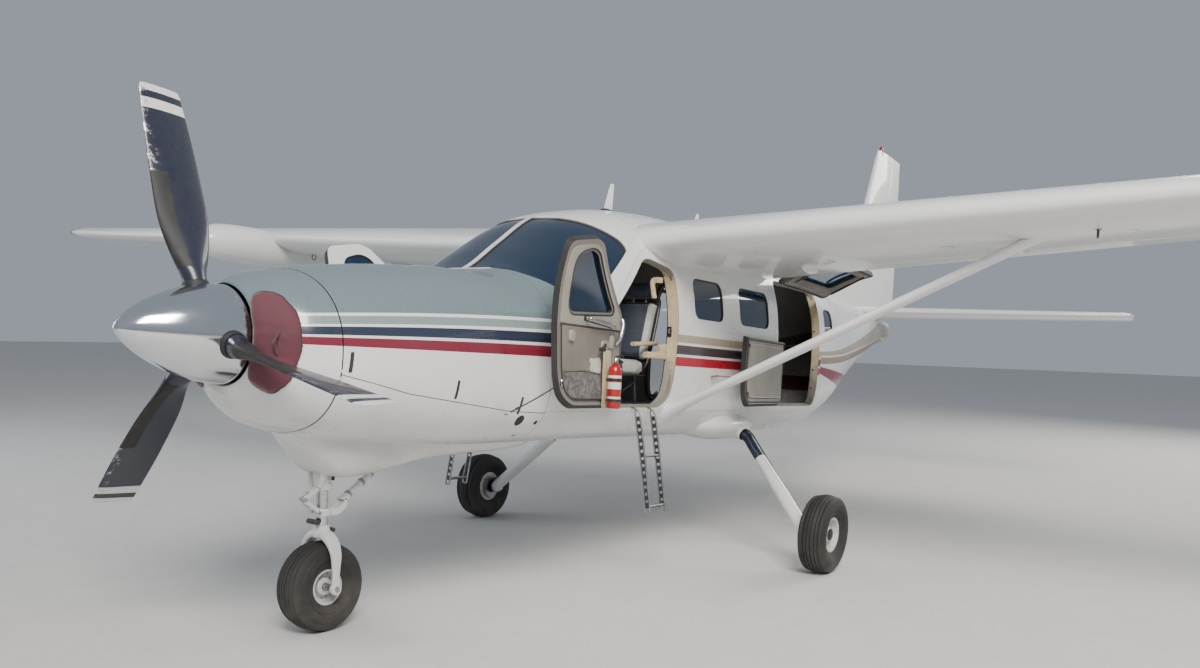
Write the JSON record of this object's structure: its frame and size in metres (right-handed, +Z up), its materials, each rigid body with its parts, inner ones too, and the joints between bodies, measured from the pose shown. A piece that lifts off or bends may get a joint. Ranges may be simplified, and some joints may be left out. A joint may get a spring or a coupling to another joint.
{
  "type": "single-engine turboprop utility plane",
  "caption": "High-wing, strut-braced utility plane with a nose turboprop and fixed tricycle gear, parked with its crew, cargo and airstair doors open and its control surfaces hinged.",
  "frame": {"origin": "on the ground under the middle of the whole plane, with its doors open as parked", "axes": "+X to port along the span, +Y aft along the fuselage, +Z up; the airframe stands 2.4 degrees nose-high on its gear"},
  "size_m": [15.87, 11.3249, 4.3497],
  "materials": {
    "airframe_white": "gloss white paint, lightly worn",
    "fuselage_paint": "gloss paint with level stripes",
    "cowl_paint": "teal-grey gloss paint with pinstripes",
    "cabin_floor_mat": "ribbed rubberised mat",
    "panel_plastic": "matte black",
    "engine_metal": "bare casing",
    "exhaust_steel": "heat-stained steel",
    "spinner_metal": "polished",
    "blade_paint": "satin navy-black with white tip bands",
    "glazing": "blue-green tinted acrylic",
    "gear_paint": "gloss white, chipped",
    "wheel_paint": "satin white",
    "tyre_rubber": "worn black rubber",
    "cover_fabric": "padded maroon cloth",
    "seat_cloth": "dark upholstery",
    "ladder_metal": "bare tube, scuffed"
  },
  "bodies": {
    "airframe": {"wing_left": "airframe_white", "wing_right": "airframe_white", "strut_left": "airframe_white", "strut_right": "airframe_white", "stabiliser": "airframe_white", "fin": "airframe_white", "radar_pod": "airframe_white", "cabin_roof": "airframe_white", "windshield_frame": "airframe_white", "cabin_belly": "fuselage_paint", "cabin_side_left": "fuselage_paint", "cabin_side_right": "fuselage_paint", "tail_cone": "fuselage_paint", "cowl_nose": "cowl_paint", "cowl_upper": "cowl_paint", "cowl_lower": "cowl_paint", "cabin_floor": "cabin_floor_mat", "instrument_panel": "panel_plastic", "engine": "engine_metal", "exhaust": "exhaust_steel", "windshield_left": "glazing", "windshield_right": "glazing", "windows_left": "glazing", "windows_right": "glazing", "window_aft_left": "glazing", "window_aft_right": "glazing", "main_leg_left": "gear_paint", "main_leg_right": "gear_paint", "nose_leg": "gear_paint", "inlet_cover_left": "cover_fabric", "inlet_cover_right": "cover_fabric", "seat_left": "seat_cloth", "seat_right": "seat_cloth", "ladder_left": "ladder_metal", "ladder_right": "ladder_metal"},
    "propeller": {"spinner": "spinner_metal", "propeller_blades": "blade_paint"},
    "nose_fork": {"nose_fork": "gear_paint"},
    "nose_wheel": {"nose_rim": "wheel_paint", "nose_tyre": "tyre_rubber"},
    "main_wheel_left": {"main_left_rim": "wheel_paint", "main_left_tyre": "tyre_rubber"},
    "main_wheel_right": {"main_right_rim": "wheel_paint", "main_right_tyre": "tyre_rubber"},
    "crew_door_left": {"crew_door_left": "fuselage_paint", "crew_door_left_glass": "glazing"},
    "crew_door_right": {"crew_door_right": "fuselage_paint", "crew_door_right_glass": "glazing"},
    "cargo_door_lower": {"cargo_door_lower": "fuselage_paint"},
    "cargo_door_upper": {"cargo_door_upper": "fuselage_paint", "cargo_door_upper_glass": "glazing"},
    "airstair_upper": {"airstair_upper": "fuselage_paint", "airstair_upper_glass": "glazing"},
    "airstair_lower": {"airstair_lower": "fuselage_paint"},
    "flap_left": {"flap_left": "airframe_white"},
    "flap_right": {"flap_right": "airframe_white"},
    "aileron_left": {"aileron_left": "airframe_white"},
    "aileron_right": {"aileron_right": "airframe_white"},
    "elevator": {"elevator": "airframe_white"},
    "rudder": {"rudder": "airframe_white"}
  },
  "joints": [
    {"name": "propeller_spin", "type": "hinge", "parent": "airframe", "child": "propeller", "pos_m": [0, -5.17294, 1.76909], "axis": [0, 0.9991, -0.0419], "continuous": true},
    {"name": "nose_steer", "type": "hinge", "parent": "airframe", "child": "nose_fork", "pos_m": [0, -4.44284, 0.27576], "axis": [0, 0.0419, 0.9991], "range_deg": [-50, 50]},
    {"name": "nose_wheel_roll", "type": "hinge", "parent": "nose_fork", "child": "nose_wheel", "pos_m": [0, -4.44284, 0.27576], "axis": [1, 0, 0], "continuous": true},
    {"name": "main_wheel_left_roll", "type": "hinge", "parent": "airframe", "child": "main_wheel_left", "pos_m": [1.78, -0.9202, 0.31273], "axis": [1, 0, 0], "continuous": true},
    {"name": "main_wheel_right_roll", "type": "hinge", "parent": "airframe", "child": "main_wheel_right", "pos_m": [-1.78, -0.9202, 0.31273], "axis": [1, 0, 0], "continuous": true},
    {"name": "crew_door_left_close", "type": "hinge", "parent": "airframe", "child": "crew_door_left", "pos_m": [0.842, -2.60059, 1.77137], "axis": [0, 0.0419, 0.9991], "range_deg": [0, 172]},
    {"name": "crew_door_right_close", "type": "hinge", "parent": "airframe", "child": "crew_door_right", "pos_m": [-0.842, -2.60059, 1.77137], "axis": [0, -0.0419, -0.9991], "range_deg": [0, 172]},
    {"name": "cargo_door_lower_close", "type": "hinge", "parent": "airframe", "child": "cargo_door_lower", "pos_m": [0.838, 0.11074, 1.5076], "axis": [0, 0.0419, 0.9991], "range_deg": [0, 174]},
    {"name": "cargo_door_upper_close", "type": "hinge", "parent": "airframe", "child": "cargo_door_upper", "pos_m": [0.735, 0.68636, 2.34623], "axis": [0, 0.9991, -0.0419], "range_deg": [0, 102]},
    {"name": "airstair_upper_close", "type": "hinge", "parent": "airframe", "child": "airstair_upper", "pos_m": [-0.735, 0.82624, 2.34037], "axis": [0, -0.9991, 0.0419], "range_deg": [0, 102]},
    {"name": "airstair_lower_close", "type": "hinge", "parent": "airframe", "child": "airstair_lower", "pos_m": [-0.812, 0.77741, 1.17539], "axis": [0, 0.9991, -0.0419], "range_deg": [0, 128]},
    {"name": "flap_left_move", "type": "hinge", "parent": "airframe", "child": "flap_left", "pos_m": [1, -0.47788, 2.45621], "axis": [-0.9971, 0.0462, -0.0604], "range_deg": [0, 30]},
    {"name": "flap_right_move", "type": "hinge", "parent": "airframe", "child": "flap_right", "pos_m": [-1, -0.47788, 2.45621], "axis": [-0.9971, -0.0462, 0.0604], "range_deg": [0, 30]},
    {"name": "aileron_left_move", "type": "hinge", "parent": "airframe", "child": "aileron_left", "pos_m": [5.23, -0.6589, 2.71074], "axis": [-0.9969, 0.0514, -0.0588], "range_deg": [-20, 20]},
    {"name": "aileron_right_move", "type": "hinge", "parent": "airframe", "child": "aileron_right", "pos_m": [-5.23, -0.6589, 2.71074], "axis": [-0.9969, -0.0514, 0.0588], "range_deg": [-20, 20]},
    {"name": "elevator_move", "type": "hinge", "parent": "airframe", "child": "elevator", "pos_m": [0, 4.95879, 2.19519], "axis": [1, 0, 0], "range_deg": [-20, 25]},
    {"name": "rudder_move", "type": "hinge", "parent": "airframe", "child": "rudder", "pos_m": [0, 5.01625, 2.25283], "axis": [0, 0.0906, 0.9959], "range_deg": [-25, 25]}
  ],
  "couplings": [
    {"joint": "flap_right_move", "follows": "flap_left_move", "ratio": 1},
    {"joint": "aileron_right_move", "follows": "aileron_left_move", "ratio": -1}
  ]
}
